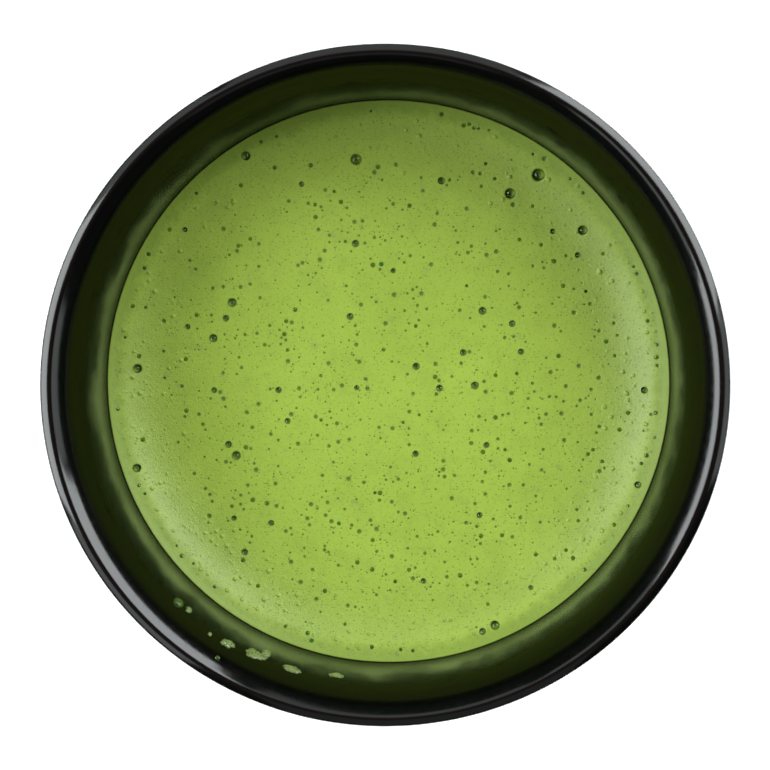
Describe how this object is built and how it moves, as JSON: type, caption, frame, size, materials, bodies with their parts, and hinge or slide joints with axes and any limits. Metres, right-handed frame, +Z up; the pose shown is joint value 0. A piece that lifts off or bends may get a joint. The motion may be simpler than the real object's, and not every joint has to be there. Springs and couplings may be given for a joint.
{
  "type": "matcha bowl",
  "caption": "Round black-glazed stoneware tea bowl on a bare foot ring, filled with green whisked tea under a bubbly raft of foam.",
  "frame": {"origin": "on the bowl's axis, in the plane that the foot ring stands on", "axes": "+Z up along the bowl's axis; +X and +Y are the picture's right and up, seen from above, and tell the bubbles' and splashes' places only"},
  "size_m": [0.12, 0.12, 0.075],
  "materials": {
    "bare_stoneware": "matte",
    "black_glaze": "satin",
    "green_tea": "gloss",
    "tea_foam": "satin",
    "bubble_skin": "gloss",
    "tea_film": "gloss",
    "tea_drop": "gloss"
  },
  "bodies": {
    "bowl": {"stoneware_body": "bare_stoneware", "black_glaze": "black_glaze", "wall_film": "tea_film", "foam_splashes": "tea_foam", "tea_drops": "tea_drop"},
    "tea": {"tea_liquid": "green_tea", "foam_layer": "tea_foam", "large_bubbles": "bubble_skin", "small_bubbles": "bubble_skin", "edge_bubbles": "bubble_skin"}
  },
  "joints": [
    {"name": "tea_swirl", "type": "hinge", "parent": "bowl", "child": "tea", "pos_m": [0, 0, 0.0565], "axis": [0, 0, 1], "continuous": true}
  ]
}
